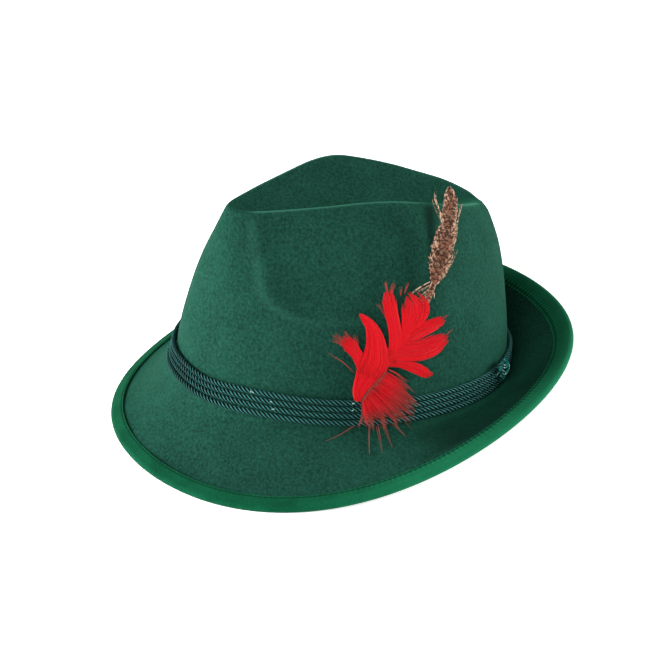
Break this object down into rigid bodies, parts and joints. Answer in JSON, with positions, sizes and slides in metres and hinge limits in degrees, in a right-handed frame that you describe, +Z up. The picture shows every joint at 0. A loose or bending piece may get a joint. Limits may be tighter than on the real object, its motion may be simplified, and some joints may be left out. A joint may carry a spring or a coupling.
{
  "type": "tyrolean hat",
  "caption": "Green felt hat with a dented and pinched crown, a bound brim turned down in front and up behind, twisted hat cords and a red and a brown feather",
  "frame": {"origin": "on the ground, under the middle of the bounding box, with the hat resting by itself on its brim", "axes": "+Z is up, the hat's front is along -Y, and the wearer's left side, where the feathers are, is along +X"},
  "size_m": [0.2586, 0.2848, 0.1392],
  "materials": {
    "felt": "soft matt felt",
    "binding_tape": "smooth matt felt tape",
    "hat_cord": "twisted cord with a slight shine",
    "red_feather": "soft dyed down and barbs",
    "brown_feather": "mottled barbs"
  },
  "bodies": {
    "root": {"felt_body": "felt", "brim_binding": "binding_tape", "hat_cord_1": "hat_cord", "hat_cord_2": "hat_cord", "hat_cord_3": "hat_cord", "hat_cord_4": "hat_cord", "cord_knot": "hat_cord", "red_feather": "red_feather", "brown_feather": "brown_feather"}
  },
  "joints": []
}
